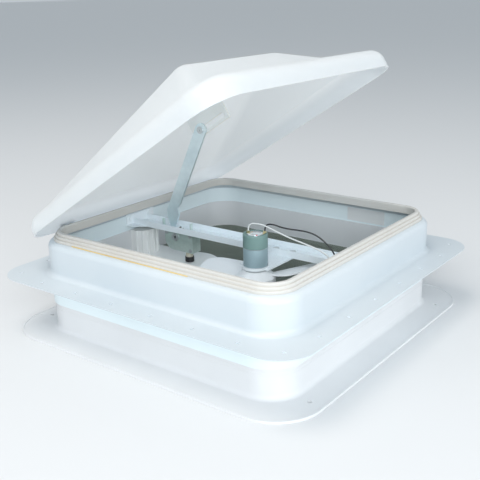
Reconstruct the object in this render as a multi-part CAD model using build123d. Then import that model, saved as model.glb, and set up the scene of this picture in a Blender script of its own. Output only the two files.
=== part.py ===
from build123d import *
import math
import os

# Caravan roof vent with a crank-lifted lid and a 12 V fan. Sizes are in millimetres.
# The origin is the middle of the roof opening, on the roof's upper skin. +Z is up,
# +X runs from the hinge side to the side that lifts, and the fan stands at -Y.
# The model is drawn with the lid open, as the vent stands in use.

# Roof frame: painted sheet collar with a flat flange
roof_opening = 355.6
opening_clearance = 0.8
frame_sheet = 1.0
flange_reach = 35.7
flange_corner = 38.0
flange_bend = 6.0
collar_corner = 40.0
collar_height = 41.6
shoulder_radius = 8.0
upstand_inset = 12.0
upstand_height = 6.0

# Screw holes of the roof flange
roof_hole_radius = 2.2
roof_hole_inset = 14.6
roof_hole_pitch = 57.15
roof_holes_per_side = 6
corner_hole_inset = 23.2

# Neck liner inside the collar
neck_sheet = 0.8
neck_depth = 35.0

# Rim seal on the upstand, and its adhesive line
seal_inset = 7.0
seal_width = 9.5
seal_height = 10.2
seal_step = 2.2
seal_bead_radius = 1.6
seal_beads = 3
adhesive_width = 0.6
adhesive_height = 0.9
adhesive_length = 176.0
adhesive_start = 53.0

# Trim ring: moulded wall and flange under the ceiling
trim_clearance = 0.4
trim_wall = 2.2
trim_flange_reach = 35.0
trim_flange_corner = 54.0
trim_depth = 71.0
trim_top = 13.5
trim_lip_width = 2.0
trim_lip_height = 0.7
trim_root_radius = 5.0
trim_hole_radius = 2.4
trim_hole_inset_x = 17.8
trim_hole_inset_y = 60.8
score_depth = 0.2
score_height = 0.5
score_first = 3.0
score_pitch = 4.0
score_lines = 2

# Insect screen and the frame that holds it
screen_drop = 24.5
screen_frame_width = 10.0
screen_frame_height = 2.5
screen_ledge_width = 6.0
screen_ledge_height = 2.0
net_thickness = 0.6
net_strand = 1.4
net_rim = 6.0
net_rows = 17

# Crossbar: folded channel that carries the operator and the fan
bar_width = 28.0
bar_height = 8.0
bar_sheet = 1.0
bar_floor_level = 20.5
bar_plate_width = 52.0
bar_plate_rise = 15.0
bar_flare_length = 26.0
bar_slot_width = 10.0
bar_slot_margin = 2.0
bar_rivet_radius = 1.8
bar_rivet_head_radius = 3.6
bar_rivet_head_height = 1.4
bar_rivet_spacing = 36.0
free_rivet_spacing = 16.0

# Operator: stamped gearbox with a worm and a toothed sector
pivot_x = -104.8
pivot_z = 12.5
case_half_depth = 8.0
case_wall = 1.2
case_left = 18.4
case_right = 28.8
case_drop = 18.4
case_corner = 14.0
case_rivet_radius = 1.4
case_rivet_head_radius = 2.6
case_rivet_head_height = 1.0
case_rivet_margin = 3.4
case_lug_width = 4.0
case_lug_rise = 15.0
case_lug_reach = 3.2
pivot_radius = 4.0
pivot_bore_radius = 2.0
pivot_head_radius = 5.4
pivot_head_height = 1.2
running_clearance = 0.06
gear_module = 1.25
gear_teeth = 18
sector_first_tooth = -2
sector_teeth = 7
gear_thickness = 3.0
gear_hub_radius = 8.0
gear_root_depth = 1.7
gear_tip_height = 1.15
tooth_thickness = 1.5
tooth_tip_thickness = 0.8
worm_pitch_radius = 4.95
worm_root_radius = 3.35
worm_tip_radius = 6.05
worm_thread_turns = 3.5
worm_turns_below = 2.0
thread_root_thickness = 2.3
thread_tip_thickness = 0.9
shaft_radius = 3.0
thrust_collar_radius = 5.0
thrust_collar_height = 1.6
bushing_radius = 4.9
bushing_flange_radius = 6.0
bushing_flange_height = 1.2
bushing_drop = 7.4
coupler_radius = 5.9
coupler_height = 6.6

# Lift arm and its tip pin
arm_thickness = 2.5
pin_below_ceiling = 28.0
arm_rest_angle = 72.4
arm_strap_angle = 64.4
arm_width = 16.4
arm_strap_start = 45.0
arm_heel_start = 34.7
arm_heel_drop = 10.0
arm_neck_rise = 15.0
arm_neck_left = 11.9
arm_neck_right = 2.4
arm_notch_depth = 5.6
arm_notch_rise = 39.0
arm_notch_out = 4.1
arm_notch_low = 29.9
tip_pin_radius = 2.5
tip_pin_head_radius = 4.4
tip_pin_head_height = 1.4
tip_pin_bore_radius = 1.1
link_rivet_radius = 1.6
link_rivet_angles = (115.0, 245.0)

# Lid: moulded skirt, a brim that falls to the hinge side, and a hipped dome
lid_half = 182.5
lid_corner = 42.0
lid_wall = 2.2
lid_rim_level = 36.0
lid_skirt_height = 29.4
lid_shoulder_radius = 18.0
lid_brim_slope = 0.0216
lid_rest_angle = 32.0
dome_start = -153.9
dome_slope = 0.26
dome_side_half = 164.2
dome_side_slope = 0.716
dome_front = 142.7
dome_front_slope = 0.926
dome_edge_radius = 22.0
dome_sink = 8.0

# Lid hinges: leaves, knuckles and pins
hinge_x = -187.0
hinge_z = 13.0
hinge_spacing = 220.0
hinge_width = 48.0
hinge_middle_width = 22.0
hinge_side_gap = 0.3
hinge_leaf = 1.2
hinge_knuckle_radius = 3.9
hinge_pin_radius = 1.6
hinge_pin_head_radius = 2.6
hinge_pin_head_height = 1.0
base_leaf_top = 33.0
base_leaf_foot = 8.6
lid_leaf_rise = 44.4
hinge_rivet_radius = 1.6
hinge_rivet_head_radius = 3.2
hinge_rivet_head_height = 1.1
base_rivet_level = 25.0
lid_rivet_level = 40.2

# Track on the lid's underside, in which the arm's pin slides
link_ratio = 1.6
lid_open_extra = 4.0
track_web = 3.0
track_web_gap = 0.6
track_flange_width = 16.0
track_flange = 2.0
track_end = 8.0
track_below_slot = 4.0
slot_clearance = 0.45

# Fan motor, its bracket and the fan
motor_x = 62.0
motor_y = -58.0
motor_radius = 13.9
motor_can_height = 23.3
motor_cap_height = 15.8
motor_cap_proud = 0.25
motor_edge_radius = 1.2
motor_boss_radius = 5.0
motor_boss_height = 3.0
pan_sheet = 1.6
pan_half_width = 19.5
pan_front_reach = 3.0
pan_ring_width = 1.6
pan_ring_height = 1.6
pan_ring_clearance = 0.4
pan_tab_length = 22.0
pan_hole_clearance = 0.3
bracket_screw_spacing = 24.0
bracket_screw_radius = 2.0
bracket_screw_head_radius = 4.0
bracket_screw_head_height = 2.4
bracket_screw_proud = 1.6
motor_screw_radius = 1.3
motor_screw_head_radius = 2.4
motor_screw_head_height = 1.5
motor_screw_place = 8.0
motor_screw_bite = 4.0
terminal_height = 5.0
terminal_proud = 2.0
terminal_width = 4.0
terminal_thickness = 0.8
terminal_places_share = ((-0.60, -0.14), (0.62, 0.48))
motor_shaft_radius = 1.15
motor_shaft_bite = 12.0
fan_radius = 76.0
fan_hub_radius = 23.0
fan_hub_top_radius = 14.0
fan_hub_top_gap = 3.9
fan_hub_cone_height = 8.0
fan_hub_height = 15.0
fan_hub_bore_depth = 11.0
fan_blades = 3
fan_first_blade_angle = 66.0
fan_blade_pitch = 22.0
fan_blade_half_width = 26.0
fan_blade_corner = 20.0
fan_blade_root = 9.0
fan_blade_camber_radius = 60.0
fan_blade_thickness = 1.6
fan_blade_drop = 8.1

# Crank well, knob and shaft below the operator
well_top = 20.5
well_wall = 2.2
well_radius = 38.0
well_half_width = 30.0
well_column_radius = 21.0
well_rib_radius = 1.7
well_ribs = 7
well_boss_radius = 7.0
well_boss_height = 8.0
well_hole_clearance = 0.6
knob_radius = 19.0
knob_height = 20.0
knob_top_drop = 34.0
knob_stem_radius = 8.0
knob_grooves = 8
knob_groove_radius = 4.0
knob_groove_offset = 2.0
knob_edge_radius = 2.0

# Fan switch at the free side
switch_x = 152.0
switch_y = -32.0
rocker_pin_lift = 3.0
switch_size_x = 14.0
switch_size_y = 24.0
switch_height = 18.0
switch_wall = 1.6
switch_tab_half = 20.0
rocker_size_x = 8.0
rocker_size_y = 17.0
rocker_above_pin = 2.6
rocker_proud = 2.4
rocker_pin_radius = 0.9
rocker_clearance = 0.9

# Leads from the motor to the switch, and the blank plate
lead_radius = 0.85
lead_rise = 5.0
lead_drop = 15.0
lead_bend_share = 0.45
white_lead_points = ((57.2, -59.2, 70.3), (63.5, -57.9, 71), (71, -56.2, 70.2), (79.5, -54.3, 67.2),
                     (90, -52, 63), (104, -48.8, 58), (118.9, -45.4, 53.8), (131, -42.6, 50.2),
                     (141, -40.4, 46), (148, -38.9, 40.5), (151.3, -38.2, 27))
black_lead_points = ((74.1, -50.2, 70.1), (80.6, -48.2, 70), (88.5, -45.8, 67.6), (97.5, -43, 66.2),
                     (108, -39.7, 65.8), (118, -36.6, 64.8), (126.5, -33.9, 62), (133.7, -31.7, 57.3),
                     (140.5, -29.6, 50.8), (147, -27.6, 42.5), (151.2, -26.3, 29.5))
lead_points = (white_lead_points, black_lead_points)
plate_length = 56.0
plate_height = 18.0
plate_thickness = 0.3
plate_x = 76.0
plate_above_trim = 2.0

# Overrun that carries every cut past the faces it opens
overrun = 2.0

# Places and sizes that follow from the sizes above
neck_half = roof_opening / 2 - opening_clearance
neck_inner_half = neck_half - neck_sheet
collar_half = neck_half + frame_sheet
corner_centre = collar_half - collar_corner
upstand_half = collar_half - upstand_inset
upstand_top = collar_height + upstand_height
liner_top = collar_height - shoulder_radius
ledge_under = collar_height - frame_sheet
flange_half = collar_half + flange_reach
roof_hole_line = flange_half - roof_hole_inset
corner_hole_place = flange_half - corner_hole_inset
seal_half = collar_half - seal_inset
seal_inner_half = seal_half - seal_width
seal_top = collar_height + seal_height
trim_half = neck_inner_half - trim_clearance
trim_inner_half = trim_half - trim_wall
trim_flange_half = trim_half + trim_flange_reach
trim_flange_level = -trim_depth + trim_wall
screen_inner_half = trim_inner_half - screen_frame_width
screen_frame_foot = -screen_drop - screen_frame_height
bar_top = bar_floor_level + bar_height
bar_rivet_level = bar_floor_level + bar_plate_rise / 2 + bar_sheet
bar_half = bar_width / 2
gear_pitch_radius = gear_module * gear_teeth / 2
gear_root_radius = gear_pitch_radius - gear_root_depth
gear_tip_radius = gear_pitch_radius + gear_tip_height
worm_lead = math.pi * gear_module
worm_x = pivot_x + gear_pitch_radius + worm_pitch_radius
case_foot = pivot_z - case_drop
arm_near = -gear_thickness / 2 - arm_thickness
arm_far = arm_near + arm_thickness
lid_top = lid_rim_level + lid_skirt_height
dome_start_level = lid_top - lid_brim_slope * (lid_half - dome_start)
ceiling_drop = lid_wall * math.hypot(1, dome_slope)
rest = math.radians(lid_rest_angle)
arm_to_lid = math.radians(arm_rest_angle - lid_rest_angle)
lid_pivot_x = hinge_x + (pivot_x - hinge_x) * math.cos(rest) + (pivot_z - hinge_z) * math.sin(rest)
lid_pivot_z = hinge_z - (pivot_x - hinge_x) * math.sin(rest) + (pivot_z - hinge_z) * math.cos(rest)
pivot_below_ceiling = dome_start_level + dome_slope * (lid_pivot_x - dome_start) - ceiling_drop - lid_pivot_z
arm_climb = math.sin(arm_to_lid) - dome_slope * math.cos(arm_to_lid)
arm_reach = (pivot_below_ceiling - pin_below_ceiling) / arm_climb
tip_x = pivot_x + arm_reach * math.cos(math.radians(arm_rest_angle))
tip_z = pivot_z + arm_reach * math.sin(math.radians(arm_rest_angle))
pan_level = bar_floor_level
motor_top = pan_level + motor_can_height + motor_cap_height
switch_terminal_top = -screen_drop + switch_height + 2 * lead_radius
fan_hub_top = pan_level - fan_hub_top_gap
hinge_axis = Axis((hinge_x, 0, hinge_z), (0, -1, 0))
parts_folder = "parts"


def save(name, shape):
    """Write one sub-part as a STEP file."""
    export_step(shape, os.path.join(parts_folder, name + ".step"))


def block(x_span, y_span, z_span):
    """A box from spans along X, Y and Z."""
    size = (x_span[1] - x_span[0], y_span[1] - y_span[0], z_span[1] - z_span[0])
    return Pos(x_span[0], y_span[0], z_span[0]) * Box(*size, align=(Align.MIN, Align.MIN, Align.MIN))


def post(x, y, radius, low, high):
    """An upright cylinder."""
    return Pos(x, y, low) * Cylinder(radius, high - low, align=(Align.CENTER, Align.CENTER, Align.MIN))


def spindle(x, z, radius, near, far):
    """A cylinder along Y."""
    upright = Cylinder(radius, far - near, align=(Align.CENTER, Align.CENTER, Align.MIN))
    return Pos(x, near, z) * Rot(-90, 0, 0) * upright


def dowel(y, z, radius, left, right):
    """A cylinder along X."""
    upright = Cylinder(radius, right - left, align=(Align.CENTER, Align.CENTER, Align.MIN))
    return Pos(left, y, z) * Rot(0, 90, 0) * upright


def cushion_square(half, corner, low, high):
    """A square block with rounded upright corners."""
    return Pos(0, 0, low) * extrude(RectangleRounded(2 * half, 2 * half, corner), high - low)


def frame_square(half, low, high):
    """A square block whose corners share their centres with the collar's corners."""
    return cushion_square(half, half - corner_centre, low, high)


def plate_xz(points, near, far):
    """A flat plate in the XZ plane, from its outline and its near and far faces in Y."""
    outline = Polyline(*[(x, near, z) for x, z in points], close=True)
    return extrude(make_face(outline), far - near, dir=(0, 1, 0))


def quarter_copies(places):
    """The same places mirrored into all four quarters."""
    return [(sx * x, sy * y) for x, y in places for sx in (-1, 1) for sy in (-1, 1)]


def make_roof_frame():
    """Flange, collar with its rounded shoulder, ledge and upstand, bent from one sheet."""
    flange = cushion_square(flange_half, flange_corner, 0, frame_sheet)
    collar = frame_square(collar_half, 0, collar_height)
    body = flange + collar
    shoulder = body.faces().filter_by(Plane.XY).sort_by(Axis.Z)[-1].edges()
    body = fillet(shoulder, shoulder_radius)
    bend_level = body.edges().filter_by_position(Axis.Z, frame_sheet, frame_sheet)
    bend = [edge for edge in bend_level
            if max(abs(edge.center().X), abs(edge.center().Y)) < collar_half + frame_sheet]
    body = fillet(bend, flange_bend)
    body = body + frame_square(upstand_half, collar_height - frame_sheet, upstand_top)
    hollow = frame_square(neck_half, -overrun, ledge_under)
    hollow_rim = hollow.faces().sort_by(Axis.Z)[-1].edges()
    body = body - fillet(hollow_rim, shoulder_radius - frame_sheet)
    body = body - frame_square(upstand_half - frame_sheet, ledge_under - overrun, upstand_top + overrun)
    row = [(index - (roof_holes_per_side - 1) / 2) * roof_hole_pitch for index in range(roof_holes_per_side)]
    places = quarter_copies([(corner_hole_place, corner_hole_place)])
    places += [(side * roof_hole_line, along) for side in (-1, 1) for along in row]
    places += [(along, side * roof_hole_line) for side in (-1, 1) for along in row]
    for x, y in places:
        body = body - post(x, y, roof_hole_radius, -overrun, frame_sheet + overrun)
    for y in base_rivet_places():
        body = body - dowel(y, base_rivet_level, hinge_rivet_radius, -collar_half - overrun,
                            -neck_half + overrun)
    return body


def make_neck_liner():
    """Upright sheet band inside the collar, which lines the roof opening."""
    band = frame_square(neck_half, -neck_depth, liner_top)
    band = band - frame_square(neck_inner_half, -neck_depth - overrun, liner_top + overrun)
    for side, y in bar_rivet_places():
        wall = sorted((side * (neck_inner_half - overrun), side * (neck_half + overrun)))
        band = band - dowel(y, bar_rivet_level, bar_rivet_radius, *wall)
    return band


def make_rim_seal():
    """Ribbed gasket pushed over the upstand: stepped beads, the highest one innermost."""
    bead_height = seal_height / seal_beads
    body = None
    for index in range(seal_beads):
        half = seal_half - index * seal_step
        low = collar_height + index * bead_height - (seal_bead_radius if index else 0)
        bead = frame_square(half, low, collar_height + (index + 1) * bead_height)
        rim = bead.faces().sort_by(Axis.Z)[-1].edges()
        bead = fillet(rim, seal_bead_radius)
        body = bead if body is None else body + bead
    body = body - frame_square(seal_inner_half, collar_height - overrun, seal_top + overrun)
    inner_rim = [edge for edge in body.faces().sort_by(Axis.Z)[-1].edges()
                 if max(abs(edge.center().X), abs(edge.center().Y)) < seal_inner_half + frame_sheet]
    body = fillet(inner_rim, seal_bead_radius)
    groove = frame_square(upstand_half, collar_height - overrun, upstand_top)
    groove = groove - frame_square(upstand_half - frame_sheet, collar_height - overrun, upstand_top)
    return body - groove


def make_seal_adhesive():
    """Line of adhesive squeezed out along the seal's foot on the fan side."""
    start = -seal_half + adhesive_start
    return block((start, start + adhesive_length), (-seal_half - adhesive_width, -seal_half),
                 (collar_height, collar_height + adhesive_height))


def make_trim_ring():
    """Moulded flange under the ceiling with the wall that telescopes up the neck."""
    flange = cushion_square(trim_flange_half, trim_flange_corner, -trim_depth, trim_flange_level)
    wall = frame_square(trim_half, -trim_depth, trim_top)
    body = flange + wall
    root = [edge for edge in body.edges().filter_by_position(Axis.Z, trim_flange_level, trim_flange_level)
            if max(abs(edge.center().X), abs(edge.center().Y)) < trim_half + trim_wall]
    body = fillet(root, trim_root_radius)
    lip_top = trim_flange_level + trim_lip_height
    lip = cushion_square(trim_flange_half, trim_flange_corner, trim_flange_level, lip_top)
    lip_hole = cushion_square(trim_flange_half - trim_lip_width, trim_flange_corner - trim_lip_width,
                              trim_flange_level, lip_top)
    body = body + (lip - lip_hole)
    ledge_top = screen_frame_foot
    ledge_foot = ledge_top - screen_ledge_height
    body = body - frame_square(trim_inner_half, ledge_top, trim_top + overrun)
    body = body - frame_square(trim_inner_half - screen_ledge_width, ledge_foot - overrun, ledge_top + overrun)
    body = body - frame_square(trim_inner_half, -trim_depth - overrun, ledge_foot)
    for index in range(score_lines):
        low = -neck_depth - score_first - index * score_pitch - score_height
        cut = frame_square(trim_half + overrun, low, low + score_height)
        body = body - (cut - frame_square(trim_half - score_depth, low, low + score_height))
    for x, y in quarter_copies([(trim_flange_half - trim_hole_inset_x, trim_flange_half - trim_hole_inset_y)]):
        body = body - post(x, y, trim_hole_radius, -trim_depth - overrun, lip_top + overrun)
    return body


def well_outline(grow):
    """Plan of the crank well: a rounded tongue from the hinge-side wall round the shaft."""
    tongue = Pos(worm_x, 0) * Circle(well_radius + grow)
    length = worm_x + trim_inner_half
    bridge = Pos(worm_x - length / 2, 0) * Rectangle(length, 2 * (well_half_width + grow))
    return tongue + bridge


def make_screen_frame():
    """Flat ring on the trim's ledge, with a tab at the free side that holds the fan switch."""
    ring = frame_square(trim_inner_half, screen_frame_foot, -screen_drop)
    inner = frame_square(screen_inner_half, screen_frame_foot - overrun, -screen_drop + overrun)
    tab = block((switch_x - switch_size_x, screen_inner_half + overrun),
                (switch_y - switch_tab_half, switch_y + switch_tab_half), (screen_frame_foot, -screen_drop))
    body = (ring - inner) + tab
    window_x = rocker_size_x / 2 + rocker_clearance
    window_y = rocker_size_y / 2 + rocker_clearance
    window = block((switch_x - window_x, switch_x + window_x), (switch_y - window_y, switch_y + window_y),
                   (screen_frame_foot - overrun, -screen_drop + overrun))
    return body - window


def make_insect_screen():
    """Flat woven net, drawn as one sheet with square gaps, cut away round the well and the switch."""
    net_half = trim_inner_half - trim_clearance
    pitch = 2 * (net_half - net_rim) / net_rows
    gap = pitch - net_strand
    sheet = RectangleRounded(2 * net_half, 2 * net_half, net_half - corner_centre)
    tab_edge = switch_x - switch_size_x - net_rim
    gaps = []
    for column in range(net_rows):
        for row in range(net_rows):
            x = (column - (net_rows - 1) / 2) * pitch
            y = (row - (net_rows - 1) / 2) * pitch
            from_corner = math.hypot(max(0, abs(x) - corner_centre), max(0, abs(y) - corner_centre))
            in_corner = from_corner + pitch > net_half - corner_centre
            near_well = math.hypot(x - worm_x, y) < well_radius + pitch
            near_well = near_well or (x < worm_x and abs(y) < well_half_width + pitch)
            near_tab = x > tab_edge and abs(y - switch_y) < switch_tab_half + pitch
            if not (in_corner or near_well or near_tab):
                gaps.append(Pos(x, y) * Rectangle(gap, gap))
    sheet = sheet - gaps
    sheet = sheet - well_outline(0)
    tab_cut_length = net_half - switch_x + switch_size_x
    tab_cut = Rectangle(tab_cut_length, 2 * switch_tab_half)
    sheet = sheet - Pos(net_half - tab_cut_length / 2, switch_y) * tab_cut
    return Pos(0, 0, -screen_drop) * extrude(sheet, net_thickness)


def make_crank_well():
    """Tongue-shaped platform under the operator with its ribbed half-round column on the wall."""
    platform = Pos(0, 0, -well_top - well_wall) * extrude(well_outline(0), well_wall)
    rim = Pos(0, 0, -screen_drop) * extrude(well_outline(0), screen_drop - well_top)
    rim = rim - Pos(0, 0, -screen_drop) * extrude(well_outline(-well_wall), screen_drop - well_top)
    body = platform + rim
    column = post(-trim_inner_half, 0, well_column_radius, -well_top, trim_top)
    for index in range(well_ribs):
        angle = math.radians((index - (well_ribs - 1) / 2) * 180 / (well_ribs + 1))
        rib_x = -trim_inner_half + well_column_radius * math.cos(angle)
        rib_y = well_column_radius * math.sin(angle)
        column = column + post(rib_x, rib_y, well_rib_radius, -well_top, trim_top)
    hollow_radius = well_column_radius - well_wall
    column = column - post(-trim_inner_half, 0, hollow_radius, -well_top, trim_top - well_wall)
    body = body + column
    boss = post(worm_x, 0, well_boss_radius, -well_top - well_wall - well_boss_height, -well_top)
    body = body + boss
    body = body & block((-trim_inner_half, worm_x + well_radius + overrun), (-lid_half, lid_half),
                        (-trim_depth, collar_height))
    hole_radius = shaft_radius + well_hole_clearance
    return body - post(worm_x, 0, hole_radius, -trim_depth, collar_height)


def make_crossbar():
    """Folded channel across the opening, flared to a wide fixing plate at the hinge side."""
    end = neck_inner_half
    floor = block((-end, end), (-bar_half, bar_half), (bar_floor_level, bar_floor_level + bar_sheet))
    sides = block((-end, end), (-bar_half, bar_half), (bar_floor_level, bar_top))
    inner_half = bar_half - bar_sheet
    sides = sides - block((-end, end), (-inner_half, inner_half), (bar_floor_level, bar_top))
    plate_half = bar_plate_width / 2
    flare = Polyline((-end, -plate_half), (-end, plate_half), (-end + bar_flare_length / 3, plate_half),
                     (-end + bar_flare_length, bar_half), (-end + bar_flare_length, -bar_half),
                     (-end + bar_flare_length / 3, -plate_half), close=True)
    flare = Pos(0, 0, bar_floor_level) * extrude(make_face(flare), bar_sheet)
    plate = block((-end, -end + bar_sheet), (-plate_half, plate_half),
                  (bar_floor_level, bar_floor_level + bar_plate_rise))
    free_tab = block((end - bar_sheet, end), (-bar_half, bar_half),
                     (bar_floor_level, bar_floor_level + bar_plate_rise))
    body = floor + sides + flare + plate + free_tab
    slot_left = pivot_x - case_left + case_wall
    slot_right = pivot_x + case_right + bar_slot_margin
    body = body - block((slot_left, slot_right), (-bar_slot_width / 2, bar_slot_width / 2),
                        (bar_floor_level - overrun, bar_floor_level + bar_sheet + overrun))
    lug_gap = case_lug_width / 2
    for lug_x in (pivot_x - case_left, pivot_x + case_right):
        body = body - block((lug_x - lug_gap, lug_x + lug_gap),
                            (-case_half_depth - case_lug_reach, -case_half_depth + case_lug_reach),
                            (bar_floor_level - overrun, bar_floor_level + bar_sheet + overrun))
    for side, y in bar_rivet_places():
        wall = sorted((side * (end - overrun), side * (end + overrun)))
        body = body - dowel(y, bar_rivet_level, bar_rivet_radius, *wall)
    for x in (motor_x - bracket_screw_spacing / 2, motor_x + bracket_screw_spacing / 2):
        body = body - post(x, 0, bracket_screw_radius, bar_floor_level - overrun, bar_floor_level + overrun)
    return body


def bar_rivet_places():
    """The crossbar's end rivets: the side of the neck, -1 or 1, and the place along Y."""
    spacings = ((-1, bar_rivet_spacing), (1, free_rivet_spacing))
    return [(side, along * spacing / 2) for side, spacing in spacings for along in (-1, 1)]


def make_crossbar_rivets():
    """Four rivets that hold the crossbar's end plates to the neck liner."""
    inside = neck_inner_half - bar_sheet
    rivets = []
    for side, y in bar_rivet_places():
        shank = sorted((side * inside, side * neck_half))
        head = sorted((side * inside, side * (inside - bar_rivet_head_height)))
        rivet = dowel(y, bar_rivet_level, bar_rivet_radius, *shank)
        rivets.append(rivet + dowel(y, bar_rivet_level, bar_rivet_head_radius, *head))
    return Compound(children=rivets)


def case_outline(shrink):
    """Side view of the gearbox: square at the worm end, well rounded at the other."""
    left = pivot_x - case_left + shrink
    right = pivot_x + case_right - shrink
    foot = case_foot + shrink
    top = bar_floor_level
    return left, right, foot, top


def case_block(shrink, near, far):
    """The gearbox outline, thickened between two faces in Y."""
    left, right, foot, top = case_outline(shrink)
    body = block((left, right), (near, far), (foot, top))
    corner = body.edges().filter_by(Axis.Y).sort_by(lambda edge: edge.center().X + edge.center().Z)[0]
    return fillet(corner, case_corner - shrink)


def case_rivet_places():
    """The gearbox's three rivets, kept clear of the worm and the sector."""
    left, right, foot, top = case_outline(0)
    return ((left + case_rivet_margin, top - case_rivet_margin),
            (right - case_rivet_margin, top - case_rivet_margin),
            (right - case_rivet_margin, foot + case_rivet_margin))


def case_half(side):
    """One stamped half of the gearbox; side is -1 for the half that faces the fan."""
    outer = case_block(0, *sorted((0, side * case_half_depth)))
    inner = case_block(case_wall, *sorted((0, side * (case_half_depth - case_wall))))
    body = outer - inner
    reach = case_half_depth + overrun
    body = body - spindle(pivot_x, pivot_z, pivot_radius, -reach, reach)
    body = body - post(worm_x, 0, bushing_radius, case_foot - overrun, case_foot + case_wall + overrun)
    for x, z in case_rivet_places():
        body = body - spindle(x, z, case_rivet_radius, -reach, reach)
    return body


def make_operator_case():
    """The half that faces the fan, with two lugs bent up through the crossbar's floor."""
    body = case_half(-1)
    lug_top = bar_floor_level + case_lug_rise
    for lug_x in (pivot_x - case_left, pivot_x + case_right):
        near = -case_half_depth - case_lug_reach
        lug_left = lug_x - case_wall / 2
        lug = block((lug_left, lug_left + case_wall), (near, -case_half_depth + case_wall), (0, lug_top))
        lug = lug & block((lug_left, lug_left + case_wall), (near, 0), (bar_floor_level - case_wall, lug_top))
        body = body + lug
    return body


def make_operator_rivets():
    """Three rivets through both halves of the gearbox."""
    head_reach = case_half_depth + case_rivet_head_height
    rivets = []
    for x, z in case_rivet_places():
        rivet = spindle(x, z, case_rivet_radius, -case_half_depth, case_half_depth)
        near_head = spindle(x, z, case_rivet_head_radius, -head_reach, -case_half_depth)
        far_head = spindle(x, z, case_rivet_head_radius, case_half_depth, head_reach)
        rivets.append(rivet + near_head + far_head)
    return Compound(children=rivets)


def make_arm_pivot():
    """Hollow pin across the gearbox, on which the sector and the arm turn."""
    near = -case_half_depth - pivot_head_height
    far = case_half_depth + pivot_head_height
    pin = spindle(pivot_x, pivot_z, pivot_radius, near, far)
    pin = pin + spindle(pivot_x, pivot_z, pivot_head_radius, near, -case_half_depth)
    pin = pin + spindle(pivot_x, pivot_z, pivot_head_radius, case_half_depth, far)
    return pin - spindle(pivot_x, pivot_z, pivot_bore_radius, near, far)


def make_shaft_bushing():
    """Flanged bushing in the gearbox's foot, round the worm shaft."""
    body = post(worm_x, 0, bushing_radius, case_foot - bushing_drop, case_foot + case_wall)
    flange_top = case_foot + case_wall + bushing_flange_height
    body = body + post(worm_x, 0, bushing_flange_radius, case_foot + case_wall, flange_top)
    return body - post(worm_x, 0, shaft_radius + running_clearance, case_foot - bushing_drop, flange_top)


def tooth_points(angle):
    """Outline of one sector tooth at an angle in degrees, in the XZ plane."""
    along = (math.cos(math.radians(angle)), math.sin(math.radians(angle)))
    across = (-along[1], along[0])
    root = gear_root_radius - tooth_tip_thickness
    widths = ((root, tooth_thickness), (gear_pitch_radius, tooth_thickness),
              (gear_tip_radius, tooth_tip_thickness))
    left = [(radius, width / 2) for radius, width in widths]
    right = [(radius, -width / 2) for radius, width in reversed(widths)]
    return [(pivot_x + radius * along[0] + offset * across[0],
             pivot_z + radius * along[1] + offset * across[1]) for radius, offset in left + right]


def make_sector_gear():
    """Toothed sector on the pivot, riveted to the lift arm and turned by the worm."""
    near = -gear_thickness / 2
    far = gear_thickness / 2
    step = 360 / gear_teeth
    body = spindle(pivot_x, pivot_z, gear_root_radius, near, far)
    for index in range(sector_teeth):
        body = body + plate_xz(tooth_points((sector_first_tooth + index) * step), near, far)
    body = body - spindle(pivot_x, pivot_z, pivot_radius + running_clearance, near, far)
    for x, z in link_rivet_places():
        body = body - spindle(x, z, link_rivet_radius, near, far)
    return body


def link_rivet_places():
    """Two rivets that join the sector to the arm, each side of the pivot."""
    reach = (pivot_radius + gear_root_radius) / 2
    places = []
    for angle in link_rivet_angles:
        places.append((pivot_x + reach * math.cos(math.radians(angle)),
                       pivot_z + reach * math.sin(math.radians(angle))))
    return places


def make_link_rivets():
    """The two rivets of the sector and the arm, flush in both."""
    return Compound(children=[spindle(x, z, link_rivet_radius, arm_near, gear_thickness / 2)
                              for x, z in link_rivet_places()])


def make_lift_arm():
    """Flat zinc strap: round tip, leaning strap, stepped heel and a neck down to its hub."""
    lean = math.radians(arm_strap_angle)
    along = (math.cos(lean), math.sin(lean))
    half = arm_width / 2
    shift = half / math.sin(lean)

    def on_strap(rise, side):
        back = (tip_z - pivot_z - rise) / math.tan(lean)
        return (tip_x - back + side * shift, pivot_z + rise)

    tip_right = (tip_x + half * along[1], tip_z - half * along[0])
    tip_left = (tip_x - half * along[1], tip_z + half * along[0])
    heel = on_strap(arm_heel_start, -1)
    outline = [tip_right, on_strap(arm_strap_start, 1),
               (pivot_x + arm_notch_out - arm_neck_right, pivot_z + arm_notch_rise),
               (pivot_x + arm_notch_out, pivot_z + arm_notch_low),
               (pivot_x - arm_neck_right, pivot_z + arm_neck_rise),
               (pivot_x + arm_neck_right, pivot_z),
               (pivot_x - gear_hub_radius, pivot_z),
               (pivot_x - arm_neck_left, pivot_z + arm_neck_rise),
               (heel[0], heel[1] - arm_heel_drop), heel, tip_left]
    body = plate_xz(outline, arm_near, arm_far)
    body = body + spindle(tip_x, tip_z, half, arm_near, arm_far)
    body = body + spindle(pivot_x, pivot_z, gear_hub_radius, arm_near, arm_far)
    body = body - spindle(tip_x, tip_z, tip_pin_radius, arm_near, arm_far)
    body = body - spindle(pivot_x, pivot_z, pivot_radius + running_clearance, arm_near, arm_far)
    for x, z in link_rivet_places():
        body = body - spindle(x, z, link_rivet_radius, arm_near, arm_far)
    return body


def track_near():
    """Near face of the track's web, beside the arm."""
    return arm_far + track_web_gap


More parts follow.
